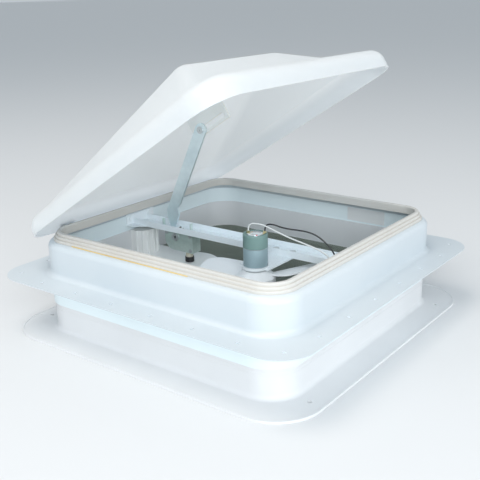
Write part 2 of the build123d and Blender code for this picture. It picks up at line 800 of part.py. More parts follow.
def make_arm_tip_pin():
    """Headed pin at the arm's tip, which slides in the lid's track."""
    web_far = track_near() + track_web
    far_head = web_far + slot_clearance
    pin = spindle(tip_x, tip_z, tip_pin_radius, arm_near, far_head + tip_pin_head_height)
    pin = pin + spindle(tip_x, tip_z, tip_pin_head_radius, arm_near - tip_pin_head_height, arm_near)
    pin = pin + spindle(tip_x, tip_z, tip_pin_head_radius, far_head, far_head + tip_pin_head_height)
    return pin - spindle(tip_x, tip_z, tip_pin_bore_radius, arm_near - tip_pin_head_height,
                         arm_near)


def make_worm():
    """Worm with its shaft: one helical thread that drives the sector."""
    start = pivot_z - worm_turns_below * worm_lead
    height = worm_thread_turns * worm_lead
    path = Helix(worm_lead, height, worm_root_radius, center=(worm_x, 0, start))
    depth = worm_tip_radius - worm_root_radius
    root_half = thread_root_thickness / 2
    tip_half = thread_tip_thickness / 2
    inside = worm_root_radius - shaft_radius
    section = Polyline((-inside, -root_half), (depth, -tip_half), (depth, tip_half), (-inside, root_half),
                       close=True)
    section = Plane(origin=path @ 0, x_dir=(1, 0, 0), z_dir=path % 0) * make_face(section)
    thread = sweep(section, path=path, is_frenet=True)
    top = start + height + root_half
    core = post(worm_x, 0, worm_root_radius, start - thread_root_thickness, top)
    collar_low = case_foot + case_wall + bushing_flange_height + running_clearance
    collar = post(worm_x, 0, thrust_collar_radius, collar_low, collar_low + thrust_collar_height)
    shaft = post(worm_x, 0, shaft_radius, -knob_top_drop - knob_height / 2, start)
    return core + thread + collar + shaft


def make_shaft_coupler():
    """Black collar pressed on the shaft below the bushing."""
    top = case_foot - bushing_drop - running_clearance
    body = post(worm_x, 0, coupler_radius, top - coupler_height, top)
    return body - post(worm_x, 0, shaft_radius, top - coupler_height, top)


def make_crank_knob():
    """Fluted knob on the lower end of the shaft, turned by hand from inside."""
    top = -knob_top_drop
    foot = top - knob_height
    body = post(worm_x, 0, knob_radius, foot, top)
    body = fillet(body.edges().filter_by(GeomType.CIRCLE), knob_edge_radius)
    for index in range(knob_grooves):
        angle = 2 * math.pi * index / knob_grooves
        reach = knob_radius + knob_groove_offset
        body = body - post(worm_x + reach * math.cos(angle), reach * math.sin(angle), knob_groove_radius,
                           foot - overrun, top + overrun)
    stem_top = -well_top - well_wall - well_boss_height - running_clearance
    body = body + post(worm_x, 0, knob_stem_radius, top - overrun, stem_top)
    return body - post(worm_x, 0, shaft_radius, -knob_top_drop - knob_height / 2, stem_top)


def brim_level(x, inset):
    """Height of the brim's plane at a place along X, lowered by an inset."""
    return lid_top - lid_brim_slope * (lid_half - x) - inset


def dome_solid(inset):
    """Hipped dome: a plane that climbs from the hinge side, sloping sides and a steeper front."""
    thin = inset * (math.hypot(1, dome_slope) - 1) / (dome_slope - lid_brim_slope)
    start = dome_start + thin
    side = dome_side_half - inset * (math.hypot(1, dome_side_slope) - 1) / dome_side_slope
    front = dome_front - inset * (math.hypot(1, dome_front_slope) - 1) / (dome_front_slope + lid_brim_slope)
    start_level = brim_level(start, inset)
    front_level = brim_level(front, inset)
    ridge_x = front_level - start_level + dome_front_slope * front + dome_slope * start
    ridge_x = ridge_x / (dome_slope + dome_front_slope)
    ridge_level = start_level + dome_slope * (ridge_x - start)
    ridge_y = side - (ridge_level - brim_level(ridge_x, inset)) / dome_side_slope

    def corner(x, y, drop):
        return (x, y, brim_level(x, inset) - drop)

    hinge_left, hinge_right = corner(start, -side, 0), corner(start, side, 0)
    front_left, front_right = corner(front, -side, 0), corner(front, side, 0)
    low_hinge_left, low_hinge_right = corner(start, -side, dome_sink), corner(start, side, dome_sink)
    low_front_left, low_front_right = corner(front, -side, dome_sink), corner(front, side, dome_sink)
    ridge_left, ridge_right = (ridge_x, -ridge_y, ridge_level), (ridge_x, ridge_y, ridge_level)
    outlines = [
        [hinge_left, ridge_left, ridge_right, hinge_right],
        [ridge_left, front_left, front_right, ridge_right],
        [hinge_left, front_left, ridge_left],
        [hinge_right, ridge_right, front_right],
        [hinge_left, hinge_right, low_hinge_right, low_hinge_left],
        [front_left, low_front_left, low_front_right, front_right],
        [hinge_left, low_hinge_left, low_front_left, front_left],
        [hinge_right, front_right, low_front_right, low_hinge_right],
        [low_hinge_left, low_hinge_right, low_front_right, low_front_left],
    ]
    shell = Shell([make_face(Polyline(*points, close=True)).face() for points in outlines])
    solid = Solid(shell)
    tops = [edge for edge in solid.edges()
            if max(vertex.Z for vertex in edge.vertices()) > ridge_level - dome_sink]
    return fillet(tops, dome_edge_radius - inset)


def lid_form(inset):
    """Outer form of the lid, or its hollow when inset is the wall thickness."""
    foot = lid_rim_level - (overrun if inset else 0)
    half = lid_half - inset
    skirt = cushion_square(half, lid_corner - inset, foot, lid_top)
    under_brim = plate_xz([(-half, foot), (half, foot), (half, brim_level(half, inset)),
                           (-half, brim_level(-half, inset))], -half, half)
    skirt = skirt & under_brim
    brim_edges = skirt.faces().sort_by(Axis.Z)[-1].edges()
    return fillet(brim_edges, lid_shoulder_radius - inset) + dome_solid(inset)


def make_lid():
    """Moulded lid, drawn closed."""
    body = lid_form(0) - lid_form(lid_wall)
    for y in lid_rivet_places():
        body = body - dowel(y, lid_rivet_level, hinge_rivet_radius, -lid_half - overrun,
                            -lid_half + lid_wall + overrun)
    return body


def hinge_places():
    """The two hinges, along Y."""
    return (-hinge_spacing / 2, hinge_spacing / 2)


def base_rivet_places():
    """The rivets of the base leaves, along Y."""
    return [y + offset * hinge_width / 4 for y in hinge_places() for offset in (-1, 1)]


def lid_rivet_places():
    """The rivets of the lid leaves, along Y."""
    return [y + offset * hinge_middle_width / 4 for y in hinge_places() for offset in (-1, 1)]


def make_hinge_base_leaves():
    """Leaves on the collar's hinge side, each with two outer knuckles."""
    leaves = []
    half = hinge_width / 2
    middle = hinge_middle_width / 2 + hinge_side_gap
    for y in hinge_places():
        wall = -collar_half
        leaf = block((wall - hinge_leaf, wall), (y - half, y + half), (base_leaf_foot, base_leaf_top))
        for near, far in ((y - half, y - middle), (y + middle, y + half)):
            web = block((hinge_x, wall), (near, far), (hinge_z - hinge_leaf / 2, hinge_z + hinge_leaf / 2))
            knuckle = spindle(hinge_x, hinge_z, hinge_knuckle_radius, near, far)
            leaf = leaf + web + knuckle
        leaf = leaf - spindle(hinge_x, hinge_z, hinge_pin_radius, y - half, y + half)
        for place in base_rivet_places():
            leaf = leaf - dowel(place, base_rivet_level, hinge_rivet_radius, wall - overrun, wall + overrun)
        leaves.append(leaf)
    return Compound(children=leaves)


def make_hinge_lid_leaves():
    """Leaves on the lid's skirt, each with a middle knuckle, drawn closed."""
    leaves = []
    half = hinge_middle_width / 2
    for y in hinge_places():
        face = -lid_half
        leaf = block((face - hinge_leaf, face), (y - half, y + half), (hinge_z, lid_leaf_rise))
        leaf = leaf + spindle(hinge_x, hinge_z, hinge_knuckle_radius, y - half, y + half)
        leaf = leaf - spindle(hinge_x, hinge_z, hinge_pin_radius + running_clearance, y - half, y + half)
        for place in lid_rivet_places():
            leaf = leaf - dowel(place, lid_rivet_level, hinge_rivet_radius, face - overrun, face + overrun)
        leaves.append(leaf)
    return Compound(children=leaves)


def make_hinge_pins():
    """One headed pin through the knuckles of each hinge."""
    pins = []
    half = hinge_width / 2
    for y in hinge_places():
        pin = spindle(hinge_x, hinge_z, hinge_pin_radius, y - half, y + half)
        for near in (y - half - hinge_pin_head_height, y + half):
            pin = pin + spindle(hinge_x, hinge_z, hinge_pin_head_radius, near, near + hinge_pin_head_height)
        pins.append(pin)
    return Compound(children=pins)


def make_base_leaf_rivets():
    """Rivets of the base leaves, through the collar's wall."""
    rivets = []
    left = -collar_half - hinge_leaf
    for place in base_rivet_places():
        shank = dowel(place, base_rivet_level, hinge_rivet_radius, left, -neck_half)
        head = dowel(place, base_rivet_level, hinge_rivet_head_radius, left - hinge_rivet_head_height, left)
        rivets.append(shank + head)
    return Compound(children=rivets)


def make_lid_leaf_rivets():
    """Rivets of the lid leaves, through the lid's skirt, drawn closed."""
    rivets = []
    left = -lid_half - hinge_leaf
    for place in lid_rivet_places():
        shank = dowel(place, lid_rivet_level, hinge_rivet_radius, left, -lid_half + lid_wall)
        head = dowel(place, lid_rivet_level, hinge_rivet_head_radius, left - hinge_rivet_head_height, left)
        rivets.append(shank + head)
    return Compound(children=rivets)


def tip_in_closed_lid(opening):
    """Where the arm's pin lies in the closed lid's frame, at an opening angle in degrees."""
    arm_angle = math.radians(arm_rest_angle + link_ratio * (opening - lid_rest_angle))
    x = pivot_x + arm_reach * math.cos(arm_angle) - hinge_x
    z = pivot_z + arm_reach * math.sin(arm_angle) - hinge_z
    turn = math.radians(opening)
    return (hinge_x + x * math.cos(turn) + z * math.sin(turn), hinge_z - x * math.sin(turn) + z * math.cos(turn))


def make_lid_track():
    """Slotted track bonded under the lid, in which the arm's pin slides, drawn closed."""
    steps = round(lid_rest_angle + lid_open_extra)
    places = [tip_in_closed_lid(opening) for opening in range(steps + 1)]
    left = min(x for x, z in places)
    right = max(x for x, z in places)
    slot_low = min(z for x, z in places) - tip_pin_radius - slot_clearance
    slot_high = max(z for x, z in places) + tip_pin_radius + slot_clearance
    print("slot rise of the pin", round(max(z for x, z in places) - min(z for x, z in places), 3))
    near = track_near()

    def ceiling(x):
        return dome_start_level + dome_slope * (x - dome_start) - ceiling_drop

    ends = (left - track_end, right + track_end)
    foot = slot_low - track_below_slot
    upper = [(ends[1], ceiling(ends[1])), (ends[0], ceiling(ends[0]))]
    web = plate_xz([(ends[0], foot), (ends[1], foot)] + upper, near, near + track_web)
    flange_foot = [(ends[0], ceiling(ends[0]) - track_flange), (ends[1], ceiling(ends[1]) - track_flange)]
    flange = plate_xz(flange_foot + upper, near, near + track_flange_width)
    body = web + flange
    slot_half = (slot_high - slot_low) / 2
    far = near + track_web + overrun
    slot = block((left, right), (near - overrun, far), (slot_low, slot_high))
    for x in (left, right):
        slot = slot + spindle(x, (slot_low + slot_high) / 2, slot_half, near - overrun, far)
    return body - slot


def make_motor_bracket():
    """Flat plate under the crossbar, which carries the motor beside it inside a low ring."""
    under = pan_level - pan_sheet
    ring_inner = motor_radius + pan_ring_clearance
    ring_outer = ring_inner + pan_ring_width
    plate = block((motor_x - pan_half_width, motor_x + pan_half_width),
                  (motor_y - pan_front_reach, -bar_half + pan_tab_length), (under, pan_level))
    pan = post(motor_x, motor_y, ring_outer, under, pan_level)
    ring = post(motor_x, motor_y, ring_outer, pan_level, pan_level + pan_ring_height)
    ring = ring - post(motor_x, motor_y, ring_inner, pan_level, pan_level + pan_ring_height)
    body = plate + pan + ring
    hole_radius = motor_boss_radius + pan_hole_clearance
    body = body - post(motor_x, motor_y, hole_radius, under - overrun, pan_level + overrun)
    for side in (-1, 1):
        body = body - post(motor_x + side * motor_screw_place, motor_y, motor_screw_radius,
                           under - overrun, pan_level + overrun)
        body = body - post(motor_x + side * bracket_screw_spacing / 2, 0, bracket_screw_radius,
                           under - overrun, pan_level + overrun)
    return body


def make_bracket_screws():
    """Two screws through the crossbar's floor into the bracket's tab."""
    screws = []
    for side in (-1, 1):
        x = motor_x + side * bracket_screw_spacing / 2
        head_low = bar_floor_level + bar_sheet
        shank = post(x, 0, bracket_screw_radius, pan_level - pan_sheet - bracket_screw_proud, head_low)
        head = post(x, 0, bracket_screw_head_radius, head_low, head_low + bracket_screw_head_height)
        screws.append(shank + head)
    return Compound(children=screws)


def make_motor_can():
    """Drawn steel can of the motor, with its nose boss through the pan."""
    top = pan_level + motor_can_height
    body = post(motor_x, motor_y, motor_radius, pan_level, top)
    body = fillet(body.faces().sort_by(Axis.Z)[0].edges(), motor_edge_radius)
    body = body + post(motor_x, motor_y, motor_boss_radius, pan_level - motor_boss_height, pan_level)
    bore_top = pan_level + motor_shaft_bite
    bore_radius = motor_shaft_radius + running_clearance
    body = body - post(motor_x, motor_y, bore_radius, pan_level - motor_boss_height, bore_top)
    for side in (-1, 1):
        body = body - post(motor_x + side * motor_screw_place, motor_y, motor_screw_radius,
                           pan_level, pan_level + motor_screw_bite)
    return body


def make_motor_cap():
    """Moulded end cap of the motor, with a raised middle and a rim."""
    low = pan_level + motor_can_height
    body = post(motor_x, motor_y, motor_radius + motor_cap_proud, low, motor_top)
    body = fillet(body.faces().sort_by(Axis.Z)[-1].edges(), motor_edge_radius)
    dish = motor_radius - 2 * motor_edge_radius
    body = body - post(motor_x, motor_y, dish, motor_top - motor_edge_radius, motor_top)
    body = body + post(motor_x, motor_y, motor_boss_radius, motor_top - motor_edge_radius, motor_top)
    for x, y in terminal_places():
        body = body - block((x - terminal_width / 2, x + terminal_width / 2),
                            (y - terminal_thickness / 2, y + terminal_thickness / 2),
                            (motor_top - terminal_height, motor_top))
    return body


def terminal_places():
    """The two terminals, as places on the motor's top."""
    return [(motor_x + share_x * motor_radius, motor_y + share_y * motor_radius)
            for share_x, share_y in terminal_places_share]


def make_motor_terminals():
    """Two brass tabs in the end cap."""
    tabs = []
    for x, y in terminal_places():
        tabs.append(block((x - terminal_width / 2, x + terminal_width / 2),
                          (y - terminal_thickness / 2, y + terminal_thickness / 2),
                          (motor_top - terminal_height, motor_top + terminal_proud)))
    return Compound(children=tabs)


def make_motor_screws():
    """Two screws up through the pan into the motor's can."""
    screws = []
    under = pan_level - pan_sheet
    for side in (-1, 1):
        x = motor_x + side * motor_screw_place
        shank = post(x, motor_y, motor_screw_radius, under, pan_level + motor_screw_bite)
        head = post(x, motor_y, motor_screw_head_radius, under - motor_screw_head_height, under)
        screws.append(shank + head)
    return Compound(children=screws)


def make_motor_shaft():
    """Steel shaft of the motor, pressed in the fan's hub."""
    return post(motor_x, motor_y, motor_shaft_radius, fan_hub_top - fan_hub_bore_depth,
                pan_level + motor_shaft_bite - running_clearance)


def fan_blade():
    """One blade along X: a rounded paddle cut from a curved sheet, then pitched."""
    length = fan_radius - fan_blade_root
    plan = RectangleRounded(length, 2 * fan_blade_half_width, fan_blade_corner)
    plan = Pos(fan_blade_root + length / 2, 0, -fan_blade_camber_radius / 2) * plan
    paddle = extrude(plan, fan_blade_camber_radius)
    paddle = paddle & post(0, 0, fan_radius, -fan_blade_camber_radius, fan_blade_camber_radius)
    inner_radius = fan_blade_camber_radius - fan_blade_thickness
    sheet = dowel(0, -fan_blade_camber_radius, fan_blade_camber_radius, 0, fan_radius)
    sheet = sheet - dowel(0, -fan_blade_camber_radius, inner_radius, 0, fan_radius)
    return Rot(-fan_blade_pitch, 0, 0) * (paddle & sheet)


def make_fan():
    """Moulded fan: a conical hub with wide, curved and pitched blades."""
    cone_low = fan_hub_top - fan_hub_cone_height
    hub = Pos(motor_x, motor_y, cone_low) * Cone(fan_hub_radius, fan_hub_top_radius, fan_hub_cone_height,
                                                align=(Align.CENTER, Align.CENTER, Align.MIN))
    body = hub + post(motor_x, motor_y, fan_hub_radius, fan_hub_top - fan_hub_height, cone_low)
    level = fan_hub_top - fan_blade_drop
    blade = fan_blade()
    for index in range(fan_blades):
        angle = fan_first_blade_angle + index * 360 / fan_blades
        body = body + Pos(motor_x, motor_y, level) * Rot(0, 0, angle) * blade
    return body - post(motor_x, motor_y, motor_shaft_radius, fan_hub_top - fan_hub_bore_depth, fan_hub_top)


def make_switch_body():
    """Housing of the fan switch, on the screen frame's tab."""
    low = -screen_drop
    half_x = switch_size_x / 2
    half_y = switch_size_y / 2
    body = block((switch_x - half_x, switch_x + half_x), (switch_y - half_y, switch_y + half_y),
                 (low, low + switch_height))
    body = body - block((switch_x - half_x + switch_wall, switch_x + half_x - switch_wall),
                        (switch_y - half_y + switch_wall, switch_y + half_y - switch_wall),
                        (low, low + switch_height - switch_wall))
    body = body - dowel(switch_y, low + rocker_pin_lift, rocker_pin_radius, switch_x - half_x,
                        switch_x + half_x)
    for x, y in switch_terminal_places():
        body = body + post(x, y, 2 * lead_radius, low + switch_height, switch_terminal_top)
    return body


def switch_terminal_places():
    """Where the two leads enter the switch, on its top."""
    return ((switch_x, switch_y - switch_size_y / 4), (switch_x, switch_y + switch_size_y / 4))


def make_switch_rocker():
    """Rocker of the fan switch, which shows through the tab's window from inside."""
    half_x = rocker_size_x / 2
    half_y = rocker_size_y / 2
    low = screen_frame_foot - rocker_proud
    top = -screen_drop + rocker_pin_lift + rocker_above_pin
    shoulder = top - rocker_proud
    points = [(-half_y, low), (0, low + rocker_proud / 2), (half_y, low), (half_y, shoulder), (0, top),
              (-half_y, shoulder)]
    outline = Polyline(*[(switch_x - half_x, switch_y + y, z) for y, z in points], close=True)
    body = extrude(make_face(outline), rocker_size_x, dir=(1, 0, 0))
    bore_radius = rocker_pin_radius + running_clearance
    pin_level = -screen_drop + rocker_pin_lift
    return body - dowel(switch_y, pin_level, bore_radius, switch_x - half_x, switch_x + half_x)


def make_rocker_pin():
    """Pin across the switch, on which the rocker tips."""
    half_x = switch_size_x / 2
    level = -screen_drop + rocker_pin_lift
    return dowel(switch_y, level, rocker_pin_radius, switch_x - half_x, switch_x + half_x)


def lead_route(index):
    """Points of a lead from its motor terminal to the switch, chosen by eye."""
    x, y = terminal_places()[index]
    end_x, end_y = switch_terminal_places()[index]
    first = (x, y, motor_top + terminal_proud)
    second = (x, y, motor_top + terminal_proud + lead_rise)
    last = (end_x, end_y, switch_terminal_top)
    before_last = (end_x, end_y, switch_terminal_top + lead_drop)
    return [first, second] + list(lead_points[index]) + [before_last, last]


def make_lead(index, name):
    """One lead: straight runs joined by arcs as large as the runs allow."""
    points = [Vector(*point) for point in lead_route(index)]
    radii = []
    for before, here, after in zip(points, points[1:], points[2:]):
        turn = math.radians((here - before).get_angle(after - here))
        run = min((here - before).length, (after - here).length)
        radii.append(lead_bend_share * run / math.tan(turn / 2))
    path = FilletPolyline(*points, radius=radii)
    section = Plane(origin=path @ 0, z_dir=path % 0) * Circle(lead_radius)
    tube = sweep(section, path=path)
    expected = math.pi * lead_radius ** 2 * path.length
    print(name, "length", round(path.length, 1), "radii", [round(radius, 1) for radius in radii],
          "volume share", round(tube.volume / expected, 4))
    return tube


def make_rating_plate():
    """Blank plate on the neck liner's far wall."""
    low = trim_top + plate_above_trim
    return block((plate_x - plate_length / 2, plate_x + plate_length / 2),
                 (neck_inner_half - plate_thickness, neck_inner_half), (low, low + plate_height))


def open_lid(shape):
    """Turn a piece drawn on the closed lid to the open lid's place."""
    return shape.rotate(hinge_axis, lid_rest_angle)


os.makedirs(parts_folder, exist_ok=True)

save("roof_frame", make_roof_frame())
save("neck_liner", make_neck_liner())
save("rim_seal", make_rim_seal())
save("seal_adhesive", make_seal_adhesive())
save("trim_ring", make_trim_ring())
save("screen_frame", make_screen_frame())
save("insect_screen", make_insect_screen())
save("crank_well", make_crank_well())
save("crossbar", make_crossbar())
save("crossbar_rivets", make_crossbar_rivets())
save("operator_case", make_operator_case())
save("operator_cover", case_half(1))
save("operator_rivets", make_operator_rivets())
save("arm_pivot", make_arm_pivot())
save("shaft_bushing", make_shaft_bushing())
save("sector_gear", make_sector_gear())
save("link_rivets", make_link_rivets())
save("lift_arm", make_lift_arm())
save("arm_tip_pin", make_arm_tip_pin())
save("worm_shaft", make_worm())
save("shaft_coupler", make_shaft_coupler())
save("crank_knob", make_crank_knob())
save("lid", open_lid(make_lid()))
save("lid_track", open_lid(make_lid_track()))
save("hinge_base_leaves", make_hinge_base_leaves())
save("hinge_lid_leaves", open_lid(make_hinge_lid_leaves()))
save("hinge_pins", make_hinge_pins())
save("base_leaf_rivets", make_base_leaf_rivets())
save("lid_leaf_rivets", open_lid(make_lid_leaf_rivets()))
save("motor_bracket", make_motor_bracket())
save("bracket_screws", make_bracket_screws())
save("motor_can", make_motor_can())
save("motor_cap", make_motor_cap())
save("motor_terminals", make_motor_terminals())
save("motor_screws", make_motor_screws())
save("motor_shaft", make_motor_shaft())
save("fan", make_fan())
save("switch_body", make_switch_body())
save("switch_rocker", make_switch_rocker())
save("rocker_pin", make_rocker_pin())
save("white_lead", make_lead(0, "white lead"))
save("black_lead", make_lead(1, "black lead"))
save("rating_plate", make_rating_plate())
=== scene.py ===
import math

import bpy
from mathutils import Matrix, Vector


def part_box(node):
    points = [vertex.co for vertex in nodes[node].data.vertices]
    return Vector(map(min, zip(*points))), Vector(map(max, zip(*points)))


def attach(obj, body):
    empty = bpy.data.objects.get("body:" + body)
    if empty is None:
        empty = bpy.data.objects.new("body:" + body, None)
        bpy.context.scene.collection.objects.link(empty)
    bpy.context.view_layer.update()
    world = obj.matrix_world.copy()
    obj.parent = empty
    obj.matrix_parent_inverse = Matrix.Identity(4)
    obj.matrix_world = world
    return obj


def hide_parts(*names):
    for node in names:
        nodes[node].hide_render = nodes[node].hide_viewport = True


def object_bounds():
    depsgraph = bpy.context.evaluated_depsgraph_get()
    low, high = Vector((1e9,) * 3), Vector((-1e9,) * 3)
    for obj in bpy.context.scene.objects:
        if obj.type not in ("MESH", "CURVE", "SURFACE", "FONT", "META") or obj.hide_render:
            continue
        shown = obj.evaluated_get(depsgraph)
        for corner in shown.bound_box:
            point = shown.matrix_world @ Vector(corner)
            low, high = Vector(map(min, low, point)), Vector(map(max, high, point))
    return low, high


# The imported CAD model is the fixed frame: a caravan roof vent with its lid cranked open.
# Lengths are in metres, +Z is up out of the roof, and the fan side of the neck is -Y.
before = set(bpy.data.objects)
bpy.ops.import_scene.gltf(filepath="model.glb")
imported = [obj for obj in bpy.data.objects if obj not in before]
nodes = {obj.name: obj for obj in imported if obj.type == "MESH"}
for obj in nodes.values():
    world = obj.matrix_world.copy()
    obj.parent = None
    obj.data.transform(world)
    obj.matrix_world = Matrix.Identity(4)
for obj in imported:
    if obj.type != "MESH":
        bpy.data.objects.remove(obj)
cad_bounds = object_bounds()

# Camera
# The photograph was taken from the free front corner, a little above the vent, and tips slightly.
# Its place was set from near fits to the flange's screw holes, the edges and the lid.
camera_azimuth = math.radians(37.5)
camera_elevation = math.radians(17.9)
camera_roll = math.radians(-1.3)
camera_distance = 0.96735
camera_target = Vector((-0.00271, -0.00206, 0.02468))
camera_lens = 58.49
camera_sensor = 36.0

back = Vector((math.sin(camera_azimuth) * math.cos(camera_elevation),
               -math.cos(camera_azimuth) * math.cos(camera_elevation),
               math.sin(camera_elevation)))
level_right = Vector((math.cos(camera_azimuth), math.sin(camera_azimuth), 0))
level_up = back.cross(level_right)
camera_right = level_right * math.cos(camera_roll) + level_up * math.sin(camera_roll)
camera_up = level_up * math.cos(camera_roll) - level_right * math.sin(camera_roll)
camera_data = bpy.data.cameras.new("camera")
camera_data.lens = camera_lens
camera_data.sensor_width = camera_sensor
camera = bpy.data.objects.new("camera", camera_data)
bpy.context.scene.collection.objects.link(camera)
camera_turn = Matrix((camera_right, camera_up, back)).transposed().to_4x4()
camera.matrix_world = Matrix.Translation(camera_target + back * camera_distance) @ camera_turn
bpy.context.scene.camera = camera
bpy.context.scene.view_settings.view_transform = "Standard"

# Floor and light
# A plain pale studio floor under three broad soft lights: one overhead, one low in front of the mouth, and a
# weaker one off the free side. The lid's underside gets light back from the floor and frame, and some
# through its own shell.
floor_colour = (0.74, 0.75, 0.76)
floor_roughness = 0.9
floor_half = 30.0
floor_gap = 0.0002
floor_level = cad_bounds[0][2] - floor_gap
floor_signs = ((-1, -1), (1, -1), (1, 1), (-1, 1))
floor_mesh = bpy.data.meshes.new("floor")
floor_corners = [(across * floor_half, along * floor_half, floor_level) for across, along in floor_signs]
floor_mesh.from_pydata(floor_corners, [], [(0, 1, 2, 3)])
floor = bpy.data.objects.new("floor", floor_mesh)
bpy.context.scene.collection.objects.link(floor)
floor_paint = bpy.data.materials.new("floor_paper")
floor_paint.use_nodes = True
floor_shader = floor_paint.node_tree.nodes["Principled BSDF"]
floor_shader.inputs["Base Color"].default_value = (*floor_colour, 1)
floor_shader.inputs["Roughness"].default_value = floor_roughness
floor_mesh.materials.append(floor_paint)

world_colour = (0.86, 0.94, 1.0)
world_strength = 0.60
world = bpy.data.worlds.new("studio")
bpy.context.scene.world = world
world.use_nodes = True
sky = world.node_tree.nodes["Background"]
sky.inputs["Color"].default_value = (*world_colour, 1)
sky.inputs["Strength"].default_value = world_strength

lights_aim = Vector((0, 0, 0.05))
studio_lights = (
    ("overhead", (-0.4, -0.8, 2.3), 1.6, 28.0, (1.0, 0.93, 0.86)),
    ("front", (1.25, -1.45, 0.80), 1.4, 26.0, (0.93, 0.97, 1.0)),
    ("free_side", (2.1, -0.3, 0.30), 0.7, 8.0, (0.93, 0.97, 1.0)),
)
for light_name, light_place, light_width, light_power, light_colour in studio_lights:
    light_data = bpy.data.lights.new(light_name, "AREA")
    light_data.size = light_width
    light_data.energy = light_power
    light_data.color = light_colour
    light = bpy.data.objects.new(light_name, light_data)
    bpy.context.scene.collection.objects.link(light)
    light.location = light_place
    light.rotation_euler = (lights_aim - light.location).to_track_quat("-Z", "Y").to_euler()

# Roof frame
# One sheet in white enamel: flange, collar, rounded shoulder and upstand.
# The enamel has a slight orange peel and a few darker patches.
enamel_light = (0.64, 0.69, 0.72)
enamel_dark = (0.59, 0.65, 0.69)
drift_detail = 4
grain_detail = 3
tone_start = 0.35
tone_end = 0.65
gloss_low_share = 0.85
gloss_high_share = 1.2
relief_strength = 0.6
# Painted shade in creases: ambient occlusion samples and the range over which that shade fades out.
crease_shade_samples = 8
crease_shade_start = 0.2
crease_shade_end = 0.85


def surface(name, light, dark, roughness, grain_scale, grain_height, metallic=0.0, drift_scale=7.0,
            stretch=(1, 1, 1)):
    """A material whose colour drifts between two tones, with grain in its roughness and its relief."""
    material = bpy.data.materials.new(name)
    material.use_nodes = True
    tree = material.node_tree
    shader = tree.nodes["Principled BSDF"]
    place = tree.nodes.new("ShaderNodeTexCoord")
    scaled = tree.nodes.new("ShaderNodeMapping")
    scaled.inputs["Scale"].default_value = stretch
    drift = tree.nodes.new("ShaderNodeTexNoise")
    drift.inputs["Scale"].default_value = drift_scale
    drift.inputs["Detail"].default_value = drift_detail
    grain = tree.nodes.new("ShaderNodeTexNoise")
    grain.inputs["Scale"].default_value = grain_scale
    grain.inputs["Detail"].default_value = grain_detail
    tone = tree.nodes.new("ShaderNodeValToRGB")
    tone.name = "tone"
    tone.color_ramp.elements[0].position = tone_start
    tone.color_ramp.elements[0].color = (*dark, 1)
    tone.color_ramp.elements[1].position = tone_end
    tone.color_ramp.elements[1].color = (*light, 1)
    gloss = tree.nodes.new("ShaderNodeMapRange")
    gloss.inputs["To Min"].default_value = roughness * gloss_low_share
    gloss.inputs["To Max"].default_value = min(1.0, roughness * gloss_high_share)
    relief = tree.nodes.new("ShaderNodeBump")
    relief.name = "relief"
    relief.inputs["Distance"].default_value = grain_height
    relief.inputs["Strength"].default_value = relief_strength
    tree.links.new(place.outputs["Object"], scaled.inputs["Vector"])
    tree.links.new(scaled.outputs["Vector"], drift.inputs["Vector"])
    tree.links.new(scaled.outputs["Vector"], grain.inputs["Vector"])
    tree.links.new(drift.outputs["Fac"], tone.inputs["Fac"])
    tree.links.new(tone.outputs["Color"], shader.inputs["Base Color"])
    tree.links.new(grain.outputs["Fac"], gloss.inputs["Value"])
    tree.links.new(gloss.outputs["Result"], shader.inputs["Roughness"])
    tree.links.new(grain.outputs["Fac"], relief.inputs["Height"])
    tree.links.new(relief.outputs["Normal"], shader.inputs["Normal"])
    shader.inputs["Metallic"].default_value = metallic
    return material


def crease_shade(material, colour, reach, share):
    """Painted shade: darkens a material made by surface towards this colour in its corners and creases, found
    by ambient occlusion.
    """
    tree = material.node_tree
    tone = tree.nodes["tone"]
    shader = tree.nodes["Principled BSDF"]
    hollow = tree.nodes.new("ShaderNodeAmbientOcclusion")
    hollow.inputs["Distance"].default_value = reach
    hollow.samples = crease_shade_samples
    amount = tree.nodes.new("ShaderNodeMapRange")
    amount.inputs["From Min"].default_value = crease_shade_start
    amount.inputs["From Max"].default_value = crease_shade_end
    amount.inputs["To Min"].default_value = share
    amount.inputs["To Max"].default_value = 0.0
    mix = tree.nodes.new("ShaderNodeMix")
    mix.data_type = "RGBA"
    mix.inputs["B"].default_value = (*colour, 1)
    tree.links.new(hollow.outputs["AO"], amount.inputs["Value"])
    tree.links.new(amount.outputs["Result"], mix.inputs["Factor"])
    tree.links.new(tone.outputs["Color"], mix.inputs["A"])
    tree.links.new(mix.outputs["Result"], shader.inputs["Base Color"])
    return material


def dress(material, *names):
    """Give CAD nodes this material."""
    for name in names:
        for place in nodes[name].material_slots:
            place.material = material


dress(surface("frame_enamel", enamel_light, enamel_dark, 0.32, 420, 0.00006), "roof_frame")

# Neck liner and blank plate
# A plain enamelled band inside the collar, a little duller than the collar, and the blank pale plate
# stuck on its far wall.
liner_light = (0.86, 0.96, 0.99)
liner_dark = (0.82, 0.92, 0.95)
dress(surface("liner_enamel", liner_light, liner_dark, 0.4, 380, 0.00005), "neck_liner")
dress(surface("plate_satin", (0.88, 0.90, 0.90), (0.82, 0.84, 0.85), 0.45, 900, 0.00003, metallic=0.1,
              stretch=(1, 1, 12)), "rating_plate")

# Rim seal
# A cream sponge-rubber gasket with three stepped ribs, pushed over the collar's upstand.
# Painted shade, tinted tan, darkens its grooves, and amber adhesive has squeezed out along its foot on the
# fan side.
seal_light = (0.64, 0.63, 0.60)
seal_dark = (0.59, 0.57, 0.53)
seal_groove_shade = (0.48, 0.42, 0.33)
# The seal's grooves get painted shade: a tan colour mixed in where ambient occlusion finds a crease.
seal_rubber = crease_shade(surface("seal_rubber", seal_light, seal_dark, 0.7, 900, 0.00012), seal_groove_shade, 0.004, 0.75)
dress(seal_rubber, "rim_seal")
dress(surface("adhesive", (0.84, 0.64, 0.27), (0.72, 0.50, 0.18), 0.35, 700, 0.0002), "seal_adhesive")

